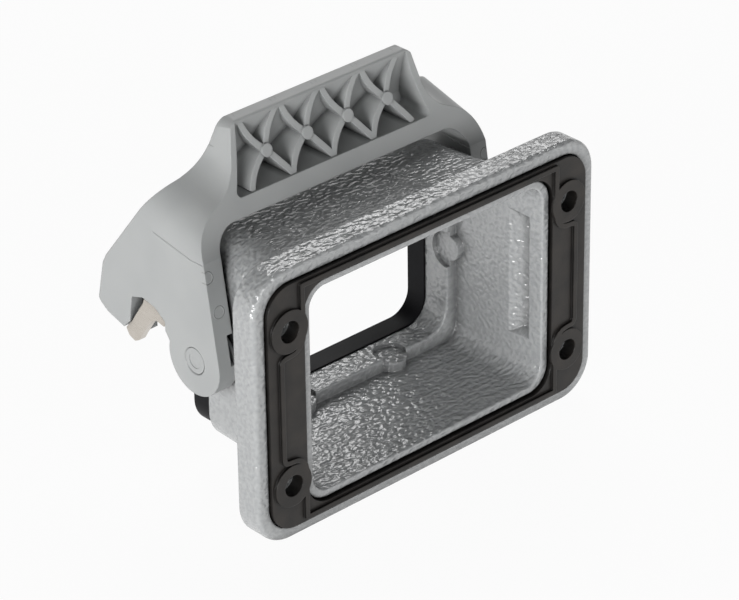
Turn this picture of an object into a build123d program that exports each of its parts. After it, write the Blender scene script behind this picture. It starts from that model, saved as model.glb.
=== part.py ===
from build123d import *
import math
import os

# Bulkhead housing of a heavy duty rectangular connector, with one locking lever.
# X runs along the long side and Z up. Y is the mating direction: the flange and its
# gasket face -Y, towards the panel, and the mating seal faces +Y.
# The origin is the centre of the screw pattern, on the front rim of the flange.

# Flange and screw pattern
screw_pitch_x = 70.0
screw_pitch_z = 32.0
screw_hole_d = 4.3
spot_face_d = 8.4
flange_width = 85.3
flange_height = 55.7
flange_thickness = 5.6
flange_corner_r = 7.6
flange_front_round = 0.9
flange_rear_round = 0.6

# Gasket groove and the lip round the opening
groove_width = 80.1
groove_height = 50.9
groove_depth = 1.6
groove_corner_r = 5.8
lip_wall_x = 1.75
lip_wall_z = 1.5
lip_corner_r = 5.0
lip_round = 0.35

# Interior of the housing
opening_width = 58.4
opening_height = 42.6
opening_corner_r = 3.8
interior_depth = 22.0
interior_end_width = 56.0
interior_end_height = 40.0
interior_end_corner_r = 3.4

# Outside of the housing body
body_depth = 28.0
body_rear_width = 60.4
body_rear_height = 44.6
body_corner_r = 7.0
body_flare = (
    (0.0, 1.2, 6.6),
    (0.13, 0.9, 4.0),
    (0.29, 0.6, 2.0),
    (0.47, 0.4, 0.9),
    (0.73, 0.2, 0.3),
    (1.0, 0.0, 0.0),
)
body_root_round = 1.2
body_rear_round = 0.5
spot_face_depth = 3.0

# Mating aperture and the pads that locate the contact insert
aperture_width = 51.0
aperture_height = 34.8
aperture_corner_r = 5.2
aperture_round = 0.4
pad_offset_x = 11.7
pad_radius = 3.3
pad_centre_y = 23.4
pad_drop = 0.8
pad_root = 0.5
side_pad_d = 5.4
side_pad_y = 22.5
side_recess_d = 7.7
side_recess_y = 22.1
side_recess_depth = 0.9

# Long recess in each side wall of the interior
recess_front_y = 3.2
recess_rear_y = 8.4
recess_half_height = 13.4
recess_depth = 2.0
recess_floor_front = 0.2
recess_floor_width = 1.2
recess_floor_inset = 2.2

# Gaskets
gasket_gap = 0.25
gasket_proud = 0.75
bead_height = 0.5
bead_width = 1.0
collar_d = 8.6
bead_inner_x = 31.8
bead_outer_x = 37.0
bead_inner_half_z = 11.3
bead_outer_half_z = 10.8
bead_inner_r = 3.0
bead_outer_r = 1.0
seal_inset_x = 0.6
seal_inset_z = 1.2
seal_overhang = 0.3
seal_height = 5.2
seal_lip_height = 0.6
seal_lip_width = 1.4
seal_corner_r = 6.4

# Pivot pins
pivot_y = 25.1
pivot_z = -0.9
pin_d = 5.1
pin_seat_depth = 3.0
pin_running_gap = 0.06
pin_end_gap = 0.15
pin_dimple_d = 3.2
pin_dimple_depth = 0.12
bore_chamfer = 0.25

# Locking lever
arm_gap = 1.0
arm_thickness = 4.2
arm_end_r = 7.0
arm_rear_angle = 12.0
pivot_boss_d = 12.4
pivot_boss_gap = 0.35
bridge_bottom_z = 25.2
arch_corner_r = 5.2
front_bend = (21.5, 20.5)
grip_front_mid = (26.5, 34.2)
grip_front_top = (28.4, 41.9)
grip_rear_top = (31.3, 42.1)
bridge_ridge = (34.4, 31.1)
cheek_shoulder = (49.6, 11.6)
cheek_back = (50.6, 9.7)
cheek_apex = (52.4, 1.3)
cheek_toe = (49.8, -0.5)
hook_heel = (45.0, -1.9)
hook_root = (40.5, -1.5)
notch_top = (37.0, 3.3)
notch_front = (33.3, 2.5)
outline_y = 24.0
shoulder_rise = 0.28
grip_half_top = 21.8
grip_top_z = 42.0
flank_foot = (24.6, 30.3)
shoulder_corner_z = 25.9
shoulder_r = 8.0
cheek_r = 1.3
ridge_r = 1.5
grip_edge_r = 0.6
grip_corner_r = 2.8

# Pocket and truss of the grip
pocket_rim = 0.35
pocket_floor_z = 28.5
pocket_half_top = 21.1
pocket_half_mid = 22.2
pocket_mid_z = 35.0
pocket_half_base = 24.3
pocket_corner_r = 1.0
grip_wall = 1.8
truss_depth = 13.0
hub_pitch = 10.0
hub_count = 4
hub_z = 34.5
hub_d = 2.5
hub_set_back = 0.05
rib_thickness = 1.25
rib_set_back = 0.45
rib_bow = 0.75
rib_bow_slight = 0.1
core_front_y = 26.4
core_rear_y = 35.4
core_roof_z = 27.4
core_half_width = 26.0
relief_depth = 1.3
relief_low_z = -0.3
relief_high_z = 5.8
relief_rear_y = 21.6

# Steel hook clips, and the seat and spring slot for them in each cheek
clip_thickness = 1.4
clip_set_in = 0.3
clip_corner_r = 0.5
slot_depth = 3.2
slot_front_top = (39.4, 6.65)
slot_rear_top = (42.5, 5.6)
slot_rear_foot = (43.4, 0.0)
slot_front_mid = (41.4, 2.2)
slot_front = (39.6, 4.7)
seat_end = (33.0, 1.0)
seat_end_top = (33.15, 4.1)
seat_arc_mid = (36.0, 6.0)
seat_heel = (45.2, -1.8)
clip_end = ((33.5, 2.5), (33.35, 3.9))
clip_outer_arc = ((36.0, 5.75), (39.3, 6.35), (39.8, 4.8), (41.6, 2.35), (43.1, 0.05), (44.95, -2.0))
clip_tip = ((44.1, -3.4), (42.5, -4.0), (41.2, -3.3))
clip_inner_arc = ((40.2, -1.7), (37.6, 2.1), (36.0, 3.0))
clip_fold = ((39.68, 4.74), (41.46, 2.26), (41.95, 2.6), (40.15, 5.08))
clip_fold_set_in = 0.9
clip_leaf = ((39.65, 5.6), (39.95, 4.7), (41.6, 2.4), (42.9, 1.1), (42.2, 5.2), (39.9, 6.1))
clip_leaf_thickness = 0.6
clip_leaf_gap = 0.1

# Margin for picking edges by their place
near = 0.05

lip_outer_width = opening_width + 2 * lip_wall_x
lip_outer_height = opening_height + 2 * lip_wall_z
arm_inner_x = body_rear_width / 2 + arm_gap
lever_half_width = arm_inner_x + arm_thickness
body_root_width = body_rear_width + body_flare[0][1]
body_root_height = body_rear_height + body_flare[0][2]
body_rear = Plane.XZ.offset(-body_depth)
flange_rear = Plane.XZ.offset(-flange_thickness)
front_rim = Plane.XZ
interior_end = Plane.XZ.offset(-interior_depth)
groove_floor = Plane.XZ.offset(-groove_depth)
wall_slope = (opening_width - interior_end_width) / 2 / interior_depth


def corners(sketch, points):
    """Corners of a sketch that lie at the given points of its own plane."""
    return [
        vertex
        for vertex in sketch.vertices()
        if min(math.dist((vertex.X, vertex.Y), point) for point in points) < near
    ]


# Housing: one die casting
with BuildPart() as housing:
    with BuildSketch(flange_rear):
        RectangleRounded(flange_width, flange_height, flange_corner_r)
    extrude(amount=flange_thickness)
    fillet(housing.faces().sort_by(Axis.Y)[0].edges(), flange_front_round)
    fillet(housing.faces().sort_by(Axis.Y)[-1].edges(), flange_rear_round)
    for share, extra_width, extra_height in body_flare:
        section_y = flange_thickness + share * (body_depth - flange_thickness)
        with BuildSketch(Plane.XZ.offset(-section_y)):
            RectangleRounded(body_rear_width + extra_width, body_rear_height + extra_height, body_corner_r)
    loft()
    root_edges = (
        housing.edges()
        .filter_by_position(Axis.Y, flange_thickness - near, flange_thickness + near)
        .filter_by(lambda edge: abs(edge.center().Z) < body_root_height / 2 + near)
        .filter_by(lambda edge: abs(edge.center().X) < body_root_width / 2 + near)
    )
    fillet(root_edges, body_root_round)
    fillet(housing.faces().sort_by(Axis.Y)[-1].edges(), body_rear_round)
    with BuildSketch(front_rim):
        RectangleRounded(groove_width, groove_height, groove_corner_r)
        RectangleRounded(lip_outer_width, lip_outer_height, lip_corner_r, mode=Mode.SUBTRACT)
    extrude(amount=-groove_depth, mode=Mode.SUBTRACT)
    with BuildSketch(front_rim):
        RectangleRounded(opening_width, opening_height, opening_corner_r)
    with BuildSketch(interior_end):
        RectangleRounded(interior_end_width, interior_end_height, interior_end_corner_r)
    loft(mode=Mode.SUBTRACT)
    lip_rims = (
        housing.edges()
        .filter_by_position(Axis.Y, -near, near)
        .filter_by(lambda edge: abs(edge.center().X) < lip_outer_width / 2 + near)
        .filter_by(lambda edge: abs(edge.center().Z) < lip_outer_height / 2 + near)
    )
    fillet(lip_rims, lip_round)
    with BuildSketch(interior_end):
        RectangleRounded(aperture_width, aperture_height, aperture_corner_r)
    extrude(amount=-(body_depth - interior_depth), mode=Mode.SUBTRACT)
    aperture_rims = (
        housing.edges()
        .filter_by_position(Axis.Y, interior_depth - near, interior_depth + near)
        .filter_by(lambda edge: abs(edge.center().X) < aperture_width / 2 + near)
        .filter_by(lambda edge: abs(edge.center().Z) < aperture_height / 2 + near)
    )
    fillet(aperture_rims, aperture_round)
    with BuildSketch(flange_rear):
        with GridLocations(screw_pitch_x, screw_pitch_z, 2, 2):
            Circle(spot_face_d / 2)
    extrude(amount=-spot_face_depth, mode=Mode.SUBTRACT)
    with BuildSketch(flange_rear):
        with GridLocations(screw_pitch_x, screw_pitch_z, 2, 2):
            Circle(screw_hole_d / 2)
    extrude(amount=flange_thickness, mode=Mode.SUBTRACT)
    for side in (-1, 1):
        wall_plane = Plane(origin=(side * opening_width / 2, 0, 0), x_dir=(0, 1, 0), z_dir=(side, 0, 0))
        with BuildSketch(wall_plane.offset(-wall_slope * recess_rear_y)):
            with Locations((recess_front_y, 0)):
                Rectangle(
                    recess_rear_y - recess_front_y,
                    2 * recess_half_height,
                    align=(Align.MIN, Align.CENTER),
                )
        with BuildSketch(wall_plane.offset(recess_depth)):
            with Locations((recess_front_y + recess_floor_front, 0)):
                Rectangle(
                    recess_floor_width,
                    2 * (recess_half_height - recess_floor_inset),
                    align=(Align.MIN, Align.CENTER),
                )
        loft(mode=Mode.SUBTRACT)
    pad_top_z = -aperture_height / 2 - pad_drop
    for level in (-1, 1):
        with BuildSketch(Plane.XY.offset(level * pad_top_z)):
            with Locations((-pad_offset_x, pad_centre_y), (pad_offset_x, pad_centre_y)):
                Circle(pad_radius)
        extrude(amount=-level * (interior_end_height / 2 + pad_top_z + pad_root))
        with BuildSketch(Plane.XY.offset(level * pad_top_z)):
            with Locations((-pad_offset_x, pad_centre_y), (pad_offset_x, pad_centre_y)):
                Circle(pad_radius)
        extrude(amount=level * pad_drop, mode=Mode.SUBTRACT)
    for side in (-1, 1):
        side_plane = Plane(origin=(side * aperture_width / 2, 0, 0), x_dir=(0, 1, 0), z_dir=(side, 0, 0))
        with BuildSketch(side_plane.offset(side_recess_depth)):
            with Locations((side_pad_y, 0)):
                Circle(side_pad_d / 2)
        extrude(amount=(interior_end_width - aperture_width) / 2)
        with BuildSketch(side_plane):
            with Locations((side_recess_y, 0)):
                Circle(side_recess_d / 2)
        extrude(amount=side_recess_depth, mode=Mode.SUBTRACT)
        with BuildSketch(Plane.YZ.offset(side * (body_rear_width / 2 - pin_seat_depth))):
            with Locations((pivot_y, pivot_z)):
                Circle(pin_d / 2)
        extrude(amount=side * (pin_seat_depth + body_root_round), mode=Mode.SUBTRACT)

# Flange gasket: moulded rubber with screw collars and one sealing bead
gasket_outer_width = groove_width - 2 * gasket_gap
gasket_outer_height = groove_height - 2 * gasket_gap
gasket_inner_width = lip_outer_width + 2 * gasket_gap
gasket_inner_height = lip_outer_height + 2 * gasket_gap
bead_mid_z = (gasket_outer_height + gasket_inner_height) / 4
bead_right = [
    (bead_inner_x, bead_mid_z),
    (bead_inner_x, bead_inner_half_z),
    (bead_outer_x, bead_outer_half_z),
    (bead_outer_x, -bead_outer_half_z),
    (bead_inner_x, -bead_inner_half_z),
    (bead_inner_x, -bead_mid_z),
]
bead_loop = bead_right + [(-x, -z) for x, z in bead_right]


def bead_area(spread):
    """Area inside the bead's centre line, grown by spread."""
    with BuildSketch() as area:
        with BuildLine():
            Polyline(bead_loop, close=True)
        make_face()
        fillet(corners(area, [p for p in bead_loop if abs(p[0]) > bead_inner_x]), bead_outer_r)
        fillet(corners(area, [p for p in bead_loop if abs(p[1]) == bead_inner_half_z]), bead_inner_r)
        offset(amount=spread)
    return area.sketch


with BuildPart() as flange_gasket:
    with BuildSketch(groove_floor):
        RectangleRounded(gasket_outer_width, gasket_outer_height, groove_corner_r - gasket_gap)
        RectangleRounded(
            gasket_inner_width, gasket_inner_height, lip_corner_r + gasket_gap, mode=Mode.SUBTRACT
        )
    extrude(amount=groove_depth + gasket_proud)
    with BuildSketch(Plane.XZ.offset(gasket_proud)):
        add(bead_area(bead_width / 2))
        add(bead_area(-bead_width / 2), mode=Mode.SUBTRACT)
        with GridLocations(screw_pitch_x, screw_pitch_z, 2, 2):
            Circle(collar_d / 2)
    extrude(amount=bead_height)
    with BuildSketch(groove_floor):
        with GridLocations(screw_pitch_x, screw_pitch_z, 2, 2):
            Circle(screw_hole_d / 2)
    extrude(amount=groove_depth + gasket_proud + bead_height, mode=Mode.SUBTRACT)

# Mating seal: frame on the rear face, with one lip for the hood
seal_width = body_rear_width - 2 * seal_inset_x
seal_outer_height = body_rear_height - 2 * seal_inset_z
seal_inner_width = aperture_width - 2 * seal_overhang
seal_inner_height = aperture_height - 2 * seal_overhang
seal_lip_inset = (seal_width - seal_inner_width) / 4 - seal_lip_width / 2

with BuildPart() as mating_seal:
    with BuildSketch(body_rear):
        RectangleRounded(seal_width, seal_outer_height, seal_corner_r)
        RectangleRounded(
            seal_inner_width, seal_inner_height, aperture_corner_r - seal_overhang, mode=Mode.SUBTRACT
        )
    extrude(amount=-(seal_height - seal_lip_height))
    with BuildSketch(Plane.XZ.offset(-(body_depth + seal_height - seal_lip_height))):
        RectangleRounded(
            seal_width - 2 * seal_lip_inset,
            seal_outer_height - 2 * seal_lip_inset,
            seal_corner_r - seal_lip_inset,
        )
        RectangleRounded(
            seal_width - 2 * (seal_lip_inset + seal_lip_width),
            seal_outer_height - 2 * (seal_lip_inset + seal_lip_width),
            seal_corner_r - seal_lip_inset - seal_lip_width,
            mode=Mode.SUBTRACT,
        )
    extrude(amount=-seal_lip_height)


# Pivot pins: pressed into the housing, the lever turns on their free ends
def pivot_pin(side):
    """Plain pin with a shallow dimple in its visible end; side is -1 left, 1 right."""
    foot_x = body_rear_width / 2 - pin_seat_depth
    end_x = lever_half_width - pin_end_gap
    with BuildPart() as pin:
        with BuildSketch(Plane.YZ.offset(side * foot_x)):
            with Locations((pivot_y, pivot_z)):
                Circle(pin_d / 2)
        extrude(amount=side * (end_x - foot_x))
        with BuildSketch(Plane.YZ.offset(side * end_x)):
            with Locations((pivot_y, pivot_z)):
                Circle(pin_dimple_d / 2)
        extrude(amount=-side * pin_dimple_depth, mode=Mode.SUBTRACT)
    return pin.part


# Locking lever: one moulding of two cheeks, the bridge and the grip
def grip_front(set_back):
    """Curved front line of the bridge and grip, moved back into the moulding."""
    points = (front_bend, grip_front_mid, grip_front_top)
    return ThreePointArc(*[(y + set_back, z) for y, z in points])


def behind_front(set_back):
    """Slab of the grip from its front line, moved back, to the middle of its rear wall."""
    half_wall = grip_wall / 2
    with BuildPart() as slab:
        with BuildSketch(Plane.YZ):
            with BuildLine():
                front = grip_front(set_back)
                Polyline(
                    front @ 1,
                    (grip_rear_top[0] - half_wall, grip_rear_top[1]),
                    (bridge_ridge[0] - half_wall, bridge_ridge[1]),
                    (bridge_ridge[0] - half_wall, front_bend[1]),
                    front @ 0,
                )
            make_face()
        extrude(amount=lever_half_width, both=True)
    return slab.part


bend_from_pivot = Vector(front_bend[0] - pivot_y, front_bend[1] - pivot_z)
front_angle = math.atan2(bend_from_pivot.Y, bend_from_pivot.X) + math.acos(
    arm_end_r / bend_from_pivot.length
)
rear_angle = math.radians(arm_rear_angle)
arm_front = (pivot_y + arm_end_r * math.cos(front_angle), pivot_z + arm_end_r * math.sin(front_angle))
arm_rear = (pivot_y + arm_end_r * math.cos(rear_angle), pivot_z + arm_end_r * math.sin(rear_angle))
arm_bottom = (pivot_y, pivot_z - arm_end_r)
outline_plane = Plane.XZ.offset(-outline_y)
rise_direction = Vector(0, 1, shoulder_rise)
lever_reach = cheek_apex[0]
bore_r = pin_d / 2 + pin_running_gap
below_lever = pivot_z - 2 * arm_end_r - lever_reach * shoulder_rise

with BuildPart() as pocket:
    with BuildSketch(Plane.YZ):
        with BuildLine():
            Polyline(
                (front_bend[0], pocket_floor_z),
                (bridge_ridge[0] - grip_wall, pocket_floor_z),
                (bridge_ridge[0] - grip_wall, bridge_ridge[1]),
                (grip_front_top[0], grip_front_top[1] - pocket_rim),
                (front_bend[0], grip_front_top[1] - pocket_rim),
                close=True,
            )
        make_face()
    extrude(amount=lever_half_width, both=True)
    with BuildSketch(outline_plane) as pocket_outline:
        with BuildLine():
            Line((0, pocket_floor_z), (pocket_half_base, pocket_floor_z))
            ThreePointArc(
                (pocket_half_base, pocket_floor_z),
                (pocket_half_mid, pocket_mid_z),
                (pocket_half_top, grip_top_z),
            )
            Line((pocket_half_top, grip_top_z), (0, grip_top_z))
            mirror(about=Plane.YZ)
        make_face()
        fillet(
            corners(
                pocket_outline,
                [(side * pocket_half_base, pocket_floor_z) for side in (-1, 1)],
            ),
            pocket_corner_r,
        )
    extrude(amount=lever_reach, both=True, mode=Mode.INTERSECT)

hub_xs = [hub_pitch * (i - (hub_count - 1) / 2) for i in range(hub_count)]
with BuildPart() as truss:
    with BuildSketch(outline_plane):
        for hub_x in hub_xs:
            left_x = hub_x - hub_pitch / 2
            right_x = hub_x + hub_pitch / 2
            with BuildLine():
                SagittaArc((hub_x, hub_z), (right_x, grip_top_z), rib_bow)
                SagittaArc((hub_x, hub_z), (left_x, grip_top_z), rib_bow)
                SagittaArc((hub_x, hub_z), (left_x, pocket_floor_z), -rib_bow)
                SagittaArc((hub_x, hub_z), (right_x, pocket_floor_z), rib_bow_slight)
            trace(line_width=rib_thickness)
    extrude(amount=-truss_depth)
    add(behind_front(rib_set_back), mode=Mode.INTERSECT)

with BuildPart() as hubs:
    with BuildSketch(outline_plane):
        with Locations(*[(hub_x, hub_z) for hub_x in hub_xs]):
            Circle(hub_d / 2)
    extrude(amount=-truss_depth)
    add(behind_front(hub_set_back), mode=Mode.INTERSECT)


def flank_at(z):
    """Half width of the grip's flank at a height, over the rear of the grip."""
    slope = (flank_foot[0] - grip_half_top) / (grip_top_z - flank_foot[1])
    height_in_outline = z - shoulder_rise * (grip_rear_top[0] - outline_y)
    return grip_half_top + slope * (grip_top_z - height_in_outline)


seat_bottom = pivot_z - arm_end_r
seat_outline = [
    seat_end,
    seat_end_top,
    seat_arc_mid,
    slot_front_top,
    slot_rear_top,
    slot_rear_foot,
    seat_heel,
    (seat_heel[0], seat_bottom),
    (seat_end[0], seat_bottom),
]
slot_outline = [slot_front_top, slot_rear_top, slot_rear_foot, slot_front_mid, slot_front]
clip_outline = clip_end + clip_outer_arc + clip_tip + clip_inner_arc

with BuildPart() as locking_lever:
    with BuildSketch(Plane.YZ) as side_view:
        with BuildLine():
            grip_front(0)
            Polyline(
                grip_front_top,
                grip_rear_top,
                bridge_ridge,
                cheek_shoulder,
                cheek_back,
                cheek_apex,
                cheek_toe,
                hook_heel,
                hook_root,
            )
            ThreePointArc(hook_root, notch_top, notch_front)
            Line(notch_front, arm_rear)
            ThreePointArc(arm_rear, arm_bottom, arm_front)
            Line(arm_front, front_bend)
        make_face()
        fillet(corners(side_view, [cheek_shoulder, cheek_back, cheek_apex]), cheek_r)
        fillet(corners(side_view, [bridge_ridge]), ridge_r)
        fillet(corners(side_view, [grip_front_top, grip_rear_top]), grip_edge_r)
    extrude(amount=lever_half_width, both=True)
    with BuildSketch(outline_plane) as front_outline:
        with BuildLine():
            Polyline(
                (0, below_lever),
                (lever_half_width, below_lever),
                (lever_half_width, shoulder_corner_z),
                flank_foot,
                (grip_half_top, grip_top_z),
                (grip_half_top, grip_top_z + lever_reach),
                (0, grip_top_z + lever_reach),
                close=True,
            )
        make_face()
        shoulder_corners = corners(front_outline, [(lever_half_width, shoulder_corner_z), flank_foot])
        fillet(shoulder_corners, shoulder_r)
        mirror(about=Plane.YZ)
    extrude(amount=lever_reach, dir=rise_direction, both=True, mode=Mode.INTERSECT)
    grip_corner = (flank_at(grip_rear_top[1]), grip_rear_top[1])
    below_corner_z = grip_rear_top[1] - 2 * grip_corner_r
    with BuildSketch(Plane.XZ) as grip_ends:
        with BuildLine():
            Polyline(
                (0, below_lever),
                (2 * lever_half_width, below_lever),
                (2 * lever_half_width, below_corner_z),
                (flank_at(below_corner_z), below_corner_z),
                grip_corner,
                (0, grip_rear_top[1]),
                close=True,
            )
        make_face()
        fillet(corners(grip_ends, [grip_corner]), grip_corner_r)
        mirror(about=Plane.YZ)
    extrude(amount=-2 * lever_reach, mode=Mode.INTERSECT)
    with BuildSketch(Plane.XZ) as arch:
        with Locations((0, bridge_bottom_z)):
            Rectangle(2 * arm_inner_x, lever_reach, align=(Align.CENTER, Align.MAX))
        fillet(arch.vertices().group_by(Axis.Y)[-1], arch_corner_r)
    extrude(amount=-2 * lever_reach, mode=Mode.SUBTRACT)
    add(pocket.part, mode=Mode.SUBTRACT)
    add(truss.part)
    add(hubs.part)
    with BuildSketch(Plane.XY.offset(bridge_bottom_z)):
        with Locations((0, (core_front_y + core_rear_y) / 2)):
            Rectangle(2 * core_half_width, core_rear_y - core_front_y)
    extrude(amount=core_roof_z - bridge_bottom_z, mode=Mode.SUBTRACT)
    for side in (-1, 1):
        with BuildSketch(Plane.YZ.offset(side * arm_inner_x)):
            with Locations((pivot_y, pivot_z)):
                Circle(pivot_boss_d / 2)
        extrude(amount=-side * (arm_inner_x - body_rear_width / 2 - pivot_boss_gap))
        with BuildSketch(Plane.YZ.offset(side * arm_inner_x)):
            with BuildLine():
                Polyline(
                    (arm_front[0] - relief_depth, relief_low_z),
                    (relief_rear_y, relief_low_z),
                    (relief_rear_y, relief_high_z),
                    (arm_front[0] - relief_depth, relief_high_z),
                    close=True,
                )
            make_face()
        extrude(amount=side * relief_depth, mode=Mode.SUBTRACT)
        with BuildSketch(Plane.YZ.offset(side * lever_half_width)):
            with BuildLine():
                Polyline(seat_outline, close=True)
            make_face()
        extrude(amount=-side * (clip_set_in + clip_thickness), mode=Mode.SUBTRACT)
        with BuildSketch(Plane.YZ.offset(side * lever_half_width)):
            with BuildLine():
                Polyline(slot_outline, close=True)
            make_face()
        extrude(amount=-side * slot_depth, mode=Mode.SUBTRACT)
    with BuildSketch(Plane.YZ):
        with Locations((pivot_y, pivot_z)):
            Circle(bore_r)
    extrude(amount=lever_half_width, both=True, mode=Mode.SUBTRACT)
    bore_rims = (
        locking_lever.edges()
        .filter_by(GeomType.CIRCLE)
        .filter_by(lambda edge: abs(edge.radius - bore_r) < near)
        .filter_by(lambda edge: abs(edge.center().X) > lever_half_width - near)
    )
    chamfer(bore_rims, bore_chamfer)


# Steel hook clip: stamped sheet that takes the hood's peg
def hook_clip(side):
    """Flat stamping seated in the outside of one cheek; side is -1 left, 1 right."""
    with BuildPart() as clip:
        with BuildSketch(Plane.YZ.offset(side * (lever_half_width - clip_set_in))) as blank:
            with BuildLine():
                Polyline(clip_outline, close=True)
            make_face()
            fillet(blank.vertices(), clip_corner_r)
        extrude(amount=-side * clip_thickness)
        with BuildSketch(Plane.YZ.offset(side * (lever_half_width - clip_fold_set_in))):
            Polygon(*clip_fold, align=None)
        extrude(amount=-side * (slot_depth - clip_leaf_gap - clip_fold_set_in))
        with BuildSketch(Plane.YZ.offset(side * (lever_half_width - slot_depth + clip_leaf_gap))):
            Polygon(*clip_leaf, align=None)
        extrude(amount=side * clip_leaf_thickness)
    return clip.part


pieces = {
    "housing": housing.part,
    "flange_gasket": flange_gasket.part,
    "mating_seal": mating_seal.part,
    "locking_lever": locking_lever.part,
    "pivot_pin_left": pivot_pin(-1),
    "pivot_pin_right": pivot_pin(1),
    "hook_clip_left": hook_clip(-1),
    "hook_clip_right": hook_clip(1),
}

os.makedirs("parts", exist_ok=True)
for name, piece in pieces.items():
    piece.label = name
    export_step(piece, f"parts/{name}.step")
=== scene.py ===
# Bulkhead housing of a heavy duty rectangular connector, with its locking lever.
# Lengths are in metres. +X is the long side, +Y the mating direction, +Z up.
import math

import bpy
from mathutils import Matrix, Vector


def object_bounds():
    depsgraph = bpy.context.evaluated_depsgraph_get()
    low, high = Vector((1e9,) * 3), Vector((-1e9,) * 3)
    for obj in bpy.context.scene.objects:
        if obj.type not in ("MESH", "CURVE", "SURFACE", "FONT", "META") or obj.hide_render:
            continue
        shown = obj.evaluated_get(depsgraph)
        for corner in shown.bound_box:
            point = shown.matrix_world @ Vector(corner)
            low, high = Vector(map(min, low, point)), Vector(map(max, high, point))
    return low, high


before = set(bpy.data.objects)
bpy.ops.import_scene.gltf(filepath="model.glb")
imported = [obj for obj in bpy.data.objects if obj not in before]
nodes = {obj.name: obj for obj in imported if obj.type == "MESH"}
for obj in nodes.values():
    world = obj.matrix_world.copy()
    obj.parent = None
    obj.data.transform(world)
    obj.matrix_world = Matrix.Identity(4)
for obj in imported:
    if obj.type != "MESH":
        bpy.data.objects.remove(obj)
cad_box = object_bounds()

MM = 0.001

# Camera of the photograph: angles in degrees, lens in pixels of a picture of that width
CAMERA_AZIMUTH = -42.4816
CAMERA_ELEVATION = 29.598
CAMERA_ROLL = -0.83625
CAMERA_DISTANCE = 694.134 * MM
CAMERA_TARGET = (-14.8018 * MM, 0, 14.0145 * MM)
CAMERA_NEAREST = 10 * MM
LENS_PIXELS = 3863.62
PICTURE_PIXELS = 739.0
SENSOR_WIDTH = 36.0

# Studio light: walls up to one height (sine of the elevation) and a dark ceiling from another
WALL_LIGHT = 0.35
CEILING_LIGHT = 0.03
WALL_TO = 0.2
CEILING_FROM = 0.4
WHITE = (1, 1, 1, 1)

# White table: how much of it glows, for the light it throws and for the rays that see it
TABLE_SIDE = 8.0
TABLE_GREY = (0.86, 0.86, 0.86, 1)
TABLE_LIGHT = 0.5
TABLE_SEEN = 0.95

LAMPS_AIM_AT = Vector((0, 10 * MM, 0))

# Moulding marks of the lever: rings on the arms' front, and a parting line that bends on the cheeks
MARK_WIDTH = 0.14 * MM
MARK_HEIGHT = 0.14 * MM
RING_CENTRES = [(34.9 * MM, 17.8 * MM), (33.5 * MM, 10.7 * MM)]
RING_RADIUS = 1.2 * MM
FRONT_TO_Y = 22 * MM
LINE_Z = 20.2 * MM
LINE_BEND_Y = 25.2 * MM
LINE_SLOPE = 0.167
LINE_END_Y = 35.4 * MM
CHEEK_FACING = 0.6

# Rays that each soft edge and each painted hollow shade is worked out from
SHADING_SAMPLES = 6


# Camera
def aim_camera():
    """Puts the camera at the photograph's place, with its lens."""
    azimuth = math.radians(CAMERA_AZIMUTH)
    elevation = math.radians(CAMERA_ELEVATION)
    roll = math.radians(CAMERA_ROLL)
    back = Vector((
        math.sin(azimuth) * math.cos(elevation),
        -math.cos(azimuth) * math.cos(elevation),
        math.sin(elevation),
    ))
    level_right = (-back).cross(Vector((0, 0, 1))).normalized()
    level_up = level_right.cross(-back)
    right = math.cos(roll) * level_right + math.sin(roll) * level_up
    up = -math.sin(roll) * level_right + math.cos(roll) * level_up
    turned = Matrix((right, up, back)).transposed().to_4x4()
    turned.translation = Vector(CAMERA_TARGET) + back * CAMERA_DISTANCE
    data = bpy.data.cameras.new("camera")
    data.sensor_width = SENSOR_WIDTH
    data.lens = LENS_PIXELS * SENSOR_WIDTH / PICTURE_PIXELS
    data.clip_start = CAMERA_NEAREST
    camera = bpy.data.objects.new("camera", data)
    camera.matrix_world = turned
    bpy.context.collection.objects.link(camera)
    bpy.context.scene.camera = camera


# Helpers for materials
def new_material(name):
    """A node material with one Principled shader; returns it, its nodes, links and shader."""
    material = bpy.data.materials.new(name)
    material.use_nodes = True
    tree = material.node_tree
    shader = tree.nodes["Principled BSDF"]
    return material, tree.nodes, tree.links, shader


def dress(links, shader, relief, colour, roughness):
    """Joins a relief, a colour and a roughness to a shader."""
    links.new(relief, shader.inputs["Normal"])
    links.new(colour, shader.inputs["Base Color"])
    links.new(roughness, shader.inputs["Roughness"])


def object_coordinates(made, links, stretch=(1, 1, 1)):
    """Object coordinates through a Mapping node, so that a pattern can be stretched."""
    place = made.new("ShaderNodeTexCoord")
    mapping = made.new("ShaderNodeMapping")
    mapping.inputs["Scale"].default_value = stretch
    links.new(place.outputs["Object"], mapping.inputs["Vector"])
    return mapping.outputs["Vector"]


def axes(made, links, vector):
    """The X, Y and Z of a vector, by name."""
    split = made.new("ShaderNodeSeparateXYZ")
    links.new(vector, split.inputs["Vector"])
    return split.outputs


def maths(made, links, operation, *terms):
    """One Math node; each term is a number or a socket."""
    step = made.new("ShaderNodeMath")
    step.operation = operation
    for socket, term in zip(step.inputs, terms):
        if isinstance(term, (int, float)):
            socket.default_value = term
        else:
            links.new(term, socket)
    return step.outputs[0]


def noise(made, links, where, per_metre, detail, distortion=0.0):
    """Noise from 0 to 1 with so many lumps to the metre."""
    texture = made.new("ShaderNodeTexNoise")
    texture.inputs["Scale"].default_value = per_metre
    texture.inputs["Detail"].default_value = detail
    texture.inputs["Distortion"].default_value = distortion
    links.new(where, texture.inputs["Vector"])
    return texture.outputs["Fac"]


def ramp(made, links, value, dark_at, dark, light_at, light):
    """Colour that goes from dark to light while a value rises from one place to another."""
    band = made.new("ShaderNodeValToRGB")
    for stop, place, colour in zip(band.color_ramp.elements, (dark_at, light_at), (dark, light)):
        stop.position = place
        stop.color = (*colour, 1)
    links.new(value, band.inputs["Fac"])
    return band.outputs["Color"]


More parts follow.
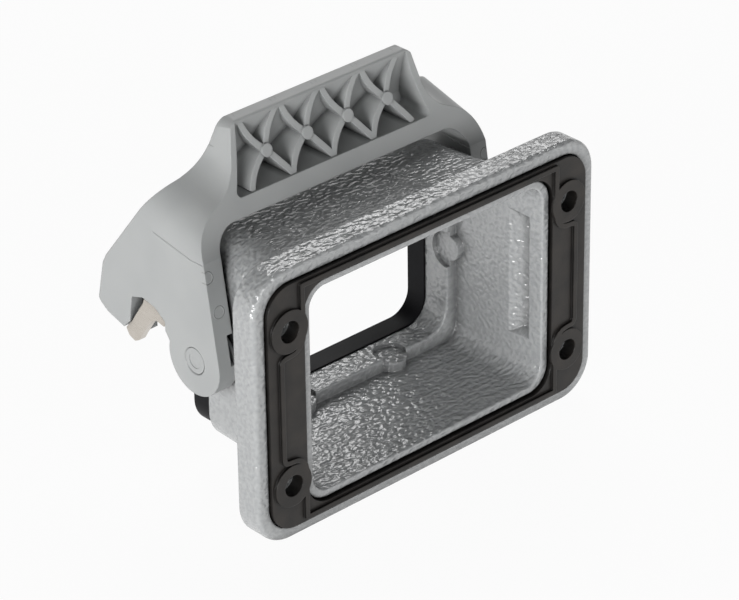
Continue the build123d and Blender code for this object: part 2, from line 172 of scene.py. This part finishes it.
def span(made, links, value, low, high):
    """Maps a 0 to 1 value onto low to high."""
    mapped = made.new("ShaderNodeMapRange")
    mapped.inputs["To Min"].default_value = low
    mapped.inputs["To Max"].default_value = high
    links.new(value, mapped.inputs["Value"])
    return mapped.outputs["Result"]


def bump(made, links, height, strength, depth, under=None):
    """Normals of a relief of some depth in metres, laid over the normals under it."""
    relief = made.new("ShaderNodeBump")
    relief.inputs["Strength"].default_value = strength
    relief.inputs["Distance"].default_value = depth
    links.new(height, relief.inputs["Height"])
    if under is not None:
        links.new(under, relief.inputs["Normal"])
    return relief.outputs["Normal"]


def soft_edges(made, links, radius):
    """Normals rounded over the edges, as on a moulding or a coated casting."""
    rounding = made.new("ShaderNodeBevel")
    rounding.samples = SHADING_SAMPLES
    rounding.inputs["Radius"].default_value = radius
    return rounding.outputs["Normal"]


def facing(made, links, axis):
    """1 where the surface faces along an axis, either way, and 0 where it faces across it."""
    surface = made.new("ShaderNodeNewGeometry")
    return maths(made, links, "ABSOLUTE", axes(made, links, surface.outputs["Normal"])[axis])


def painted_hollow_shade(made, links, colour, reach, depth):
    """Painted shade: a colour darkened by an Ambient Occlusion node in holes, slots and corners, the
    more so for a larger depth.
    """
    open_sky = made.new("ShaderNodeAmbientOcclusion")
    open_sky.samples = SHADING_SAMPLES
    open_sky.inputs["Distance"].default_value = reach
    shade = made.new("ShaderNodeMix")
    shade.data_type = "RGBA"
    shade.blend_type = "MULTIPLY"
    shade.inputs["Factor"].default_value = 1.0
    links.new(colour, shade.inputs["A"])
    links.new(maths(made, links, "POWER", open_sky.outputs["AO"], depth), shade.inputs["B"])
    return shade.outputs["Result"]


# Coat of the casting
def coat_material():
    """Light grey powder coat on the die casting, with a glossy hammered surface."""
    material, made, links, shader = new_material("hammered_coat")
    where = object_coordinates(made, links, stretch=(0.7, 1, 1))
    dents = noise(made, links, where, per_metre=1200, detail=0.5, distortion=0.2)
    ripple = noise(made, links, where, per_metre=2100, detail=1.0)
    deeper_on_top = span(made, links, facing(made, links, "Z"), low=0.75, high=1.15)
    hammered = maths(made, links, "MULTIPLY", dents, deeper_on_top)
    rounded = soft_edges(made, links, radius=0.45 * MM)
    relief = bump(made, links, hammered, strength=1.0, depth=0.36 * MM, under=rounded)
    relief = bump(made, links, ripple, strength=0.6, depth=0.08 * MM, under=relief)
    colour = ramp(
        made, links, dents,
        dark_at=0.36, dark=(0.325, 0.334, 0.338),
        light_at=0.62, light=(0.372, 0.38, 0.382),
    )
    # Painted shade: the coat colour is darkened by ambient occlusion in its holes, recesses and
    # corners.
    colour = painted_hollow_shade(made, links, colour, reach=3 * MM, depth=1.2)
    dress(links, shader, relief, colour, span(made, links, ripple, low=0.09, high=0.16))
    shader.inputs["Specular IOR Level"].default_value = 1.0
    return material


# Moulding of the lever
def mark_profile(made, links, off_middle):
    """1 along the middle of a thin mark, falling to 0 at its edges."""
    beside = maths(made, links, "DIVIDE", maths(made, links, "ABSOLUTE", off_middle), MARK_WIDTH)
    return maths(made, links, "MAXIMUM", maths(made, links, "SUBTRACT", 1.0, beside), 0.0)


def ejector_ring(made, links, across, height, ring_x, ring_z):
    """Height of one ring, around a centre on the arms' front."""
    from_x = maths(made, links, "SUBTRACT", across, ring_x)
    from_z = maths(made, links, "SUBTRACT", height, ring_z)
    square_x = maths(made, links, "MULTIPLY", from_x, from_x)
    square_z = maths(made, links, "MULTIPLY", from_z, from_z)
    from_centre = maths(made, links, "SQRT", maths(made, links, "ADD", square_x, square_z))
    return mark_profile(made, links, maths(made, links, "SUBTRACT", from_centre, RING_RADIUS))


def parting_line(made, links, depth, height):
    """Height of the line on the cheeks, which is level up to its bend and climbs to its end."""
    past_bend = maths(made, links, "SUBTRACT", depth, LINE_BEND_Y)
    past_bend = maths(made, links, "MAXIMUM", past_bend, 0.0)
    line_z = maths(made, links, "MULTIPLY_ADD", past_bend, LINE_SLOPE, LINE_Z)
    line = mark_profile(made, links, maths(made, links, "SUBTRACT", height, line_z))
    before_end = maths(made, links, "LESS_THAN", depth, LINE_END_Y)
    on_cheek = maths(made, links, "GREATER_THAN", facing(made, links, "X"), CHEEK_FACING)
    return maths(made, links, "MULTIPLY", line, maths(made, links, "MULTIPLY", before_end, on_cheek))


def moulding_marks(made, links):
    """Height of the ejector rings and of the parting line, the same on both sides."""
    where = axes(made, links, object_coordinates(made, links))
    across = maths(made, links, "ABSOLUTE", where["X"])
    on_front = maths(made, links, "LESS_THAN", where["Y"], FRONT_TO_Y)
    marks = parting_line(made, links, where["Y"], where["Z"])
    for ring_x, ring_z in RING_CENTRES:
        ring = ejector_ring(made, links, across, where["Z"], ring_x, ring_z)
        ring = maths(made, links, "MULTIPLY", ring, on_front)
        marks = maths(made, links, "MAXIMUM", marks, ring)
    return marks


def lever_material():
    """Satin light grey moulding with a fine spark-eroded skin."""
    material, made, links, shader = new_material("moulded_lever")
    where = object_coordinates(made, links)
    skin = noise(made, links, where, per_metre=5200, detail=2.0)
    sink = noise(made, links, where, per_metre=120, detail=1.0)
    rounded = soft_edges(made, links, radius=0.28 * MM)
    relief = bump(made, links, skin, strength=0.12, depth=0.05 * MM, under=rounded)
    relief = bump(made, links, sink, strength=0.25, depth=0.25 * MM, under=relief)
    marks = moulding_marks(made, links)
    relief = bump(made, links, marks, strength=1.0, depth=MARK_HEIGHT, under=relief)
    colour = ramp(
        made, links, sink,
        dark_at=0.3, dark=(0.37, 0.38, 0.38),
        light_at=0.7, light=(0.395, 0.405, 0.403),
    )
    # Painted shade: the moulding colour is darkened by ambient occlusion in its slots, pockets and
    # corners.
    colour = painted_hollow_shade(made, links, colour, reach=1.5 * MM, depth=0.7)
    dress(links, shader, relief, colour, span(made, links, skin, low=0.34, high=0.46))
    return material


# Rubber of the gasket and the seal
def rubber_material(name, dark, light, roughness, specular):
    """Moulded black rubber with a slight bloom."""
    material, made, links, shader = new_material(name)
    where = object_coordinates(made, links)
    bloom = noise(made, links, where, per_metre=260, detail=5.0)
    grain = noise(made, links, where, per_metre=3800, detail=2.0)
    rounded = soft_edges(made, links, radius=0.3 * MM)
    relief = bump(made, links, grain, strength=0.25, depth=0.06 * MM, under=rounded)
    colour = ramp(made, links, bloom, dark_at=0.35, dark=dark, light_at=0.7, light=light)
    # Painted shade: the rubber colour is darkened by ambient occlusion in its screw holes and
    # grooves.
    colour = painted_hollow_shade(made, links, colour, reach=4 * MM, depth=2.2)
    patchy = span(made, links, bloom, low=roughness - 0.06, high=roughness + 0.08)
    dress(links, shader, relief, colour, patchy)
    shader.inputs["Specular IOR Level"].default_value = specular
    return material


# Steel of the clips and paint of the pins
def clip_material():
    """Bright stainless sheet, with the rolling grain along its length."""
    material, made, links, shader = new_material("bright_stainless")
    where = object_coordinates(made, links, stretch=(1, 0.15, 1))
    grain = noise(made, links, where, per_metre=3600, detail=4.0)
    relief = bump(made, links, grain, strength=0.08, depth=0.03 * MM)
    colour = ramp(
        made, links, grain,
        dark_at=0.3, dark=(0.53, 0.49, 0.44),
        light_at=0.7, light=(0.59, 0.55, 0.50),
    )
    # Painted shade: the steel colour is darkened by ambient occlusion where the clip lies deep in
    # the notch.
    colour = painted_hollow_shade(made, links, colour, reach=5 * MM, depth=2.0)
    dress(links, shader, relief, colour, span(made, links, grain, low=0.24, high=0.32))
    shader.inputs["Metallic"].default_value = 1.0
    return material


def pin_material():
    """Painted end of the pivot pin, nearly the same grey as the lever."""
    material, made, links, shader = new_material("painted_pin")
    where = object_coordinates(made, links)
    orange_peel = noise(made, links, where, per_metre=1500, detail=2.0)
    relief = bump(made, links, orange_peel, strength=0.2, depth=0.08 * MM)
    colour = ramp(
        made, links, orange_peel,
        dark_at=0.3, dark=(0.365, 0.375, 0.375),
        light_at=0.7, light=(0.395, 0.405, 0.403),
    )
    dress(links, shader, relief, colour, span(made, links, orange_peel, low=0.26, high=0.36))
    return material


def gasket_material():
    """Rubber of the flange gasket, a warm black."""
    return rubber_material(
        "gasket_rubber",
        dark=(0.012, 0.0104, 0.009), light=(0.026, 0.0218, 0.0185),
        roughness=0.4, specular=0.32,
    )


def seal_material():
    """Rubber of the mating seal, a deeper and duller black."""
    return rubber_material(
        "seal_rubber",
        dark=(0.006, 0.006, 0.007), light=(0.011, 0.011, 0.013),
        roughness=0.5, specular=0.1,
    )


def wear(material, *names):
    """Puts one material on CAD nodes."""
    for name in names:
        piece = nodes[name]
        if not piece.material_slots:
            piece.data.materials.append(material)
        for slot in piece.material_slots:
            slot.link = "OBJECT"
            slot.material = material


# Floor, lamps and a white background
def viewing_rays(made, links):
    """1 for camera and transmission rays, which see the background as plain white."""
    path = made.new("ShaderNodeLightPath")
    seen = (path.outputs["Is Camera Ray"], path.outputs["Is Transmission Ray"])
    return maths(made, links, "MAXIMUM", *seen)


def background_rays(made, links):
    """1 for the rays that see a background: viewing rays and glossy rays."""
    path = made.new("ShaderNodeLightPath")
    return maths(made, links, "MAXIMUM", viewing_rays(made, links), path.outputs["Is Glossy Ray"])


def share_of_light(made, links, thrown, seen):
    """One share for the light that a background throws, another for the rays that see it."""
    return maths(made, links, "MULTIPLY_ADD", background_rays(made, links), seen - thrown, thrown)


def floor_material():
    """White table that partly glows: it keeps a faint shadow and lights the object from below."""
    material, made, links, shader = new_material("pale_floor")
    shader.inputs["Base Color"].default_value = TABLE_GREY
    shader.inputs["Roughness"].default_value = 0.9
    glow = made.new("ShaderNodeEmission")
    mix = made.new("ShaderNodeMixShader")
    links.new(share_of_light(made, links, TABLE_LIGHT, TABLE_SEEN), mix.inputs["Fac"])
    links.new(shader.outputs[0], mix.inputs[1])
    links.new(glow.outputs[0], mix.inputs[2])
    links.new(mix.outputs[0], made["Material Output"].inputs["Surface"])
    return material


def lay_floor():
    """Lays the table at the object's lowest point."""
    bpy.ops.object.select_all(action="DESELECT")
    bpy.ops.mesh.primitive_plane_add(size=TABLE_SIDE, location=(0, 0, cad_box[0][2]))
    floor = bpy.context.object
    floor.name = "floor"
    floor.data.materials.append(floor_material())


def hang_lamp(name, place, size, watts):
    """A rectangular lamp, turned to the object."""
    data = bpy.data.lights.new(name, "AREA")
    data.shape = "RECTANGLE"
    data.size, data.size_y = size
    data.energy = watts
    lamp = bpy.data.objects.new(name, data)
    lamp.location = place
    lamp.rotation_euler = (LAMPS_AIM_AT - Vector(place)).to_track_quat("-Z", "Y").to_euler()
    bpy.context.collection.objects.link(lamp)


def light_world():
    """White studio walls with a dark ceiling; the camera sees white all round."""
    world = bpy.data.worlds.new("studio")
    bpy.context.scene.world = world
    world.use_nodes = True
    made, links = world.node_tree.nodes, world.node_tree.links
    direction = made.new("ShaderNodeTexCoord")
    wall = made.new("ShaderNodeMapRange")
    wall.inputs["From Min"].default_value = CEILING_FROM
    wall.inputs["From Max"].default_value = WALL_TO
    links.new(axes(made, links, direction.outputs["Generated"])["Z"], wall.inputs["Value"])
    share = share_of_light(made, links, WALL_LIGHT, 1)
    lit = maths(made, links, "MULTIPLY", wall.outputs["Result"], share)
    lit = maths(made, links, "MAXIMUM", lit, CEILING_LIGHT)
    lit = maths(made, links, "MAXIMUM", lit, viewing_rays(made, links))
    studio = made["Background"]
    studio.inputs["Color"].default_value = WHITE
    links.new(lit, studio.inputs["Strength"])


aim_camera()

wear(coat_material(), "housing")
wear(lever_material(), "locking_lever")
wear(gasket_material(), "flange_gasket")
wear(seal_material(), "mating_seal")
wear(clip_material(), "hook_clip_left", "hook_clip_right")
wear(pin_material(), "pivot_pin_left", "pivot_pin_right")

lay_floor()
light_world()
hang_lamp("left_lamp", place=(-1.13, -0.4, 0.1), size=(0.8, 0.3), watts=13.0)
hang_lamp("front_lamp", place=(-0.3, -1.15, 0.35), size=(0.6, 0.4), watts=4.0)
hang_lamp("rear_lamp", place=(0.8, 0.87, 0.85), size=(0.8, 0.45), watts=4.6)
hang_lamp("top_strip", place=(0.54, 0.59, 1.02), size=(1.0, 0.08), watts=2.8)

bpy.context.scene.view_settings.view_transform = "Standard"
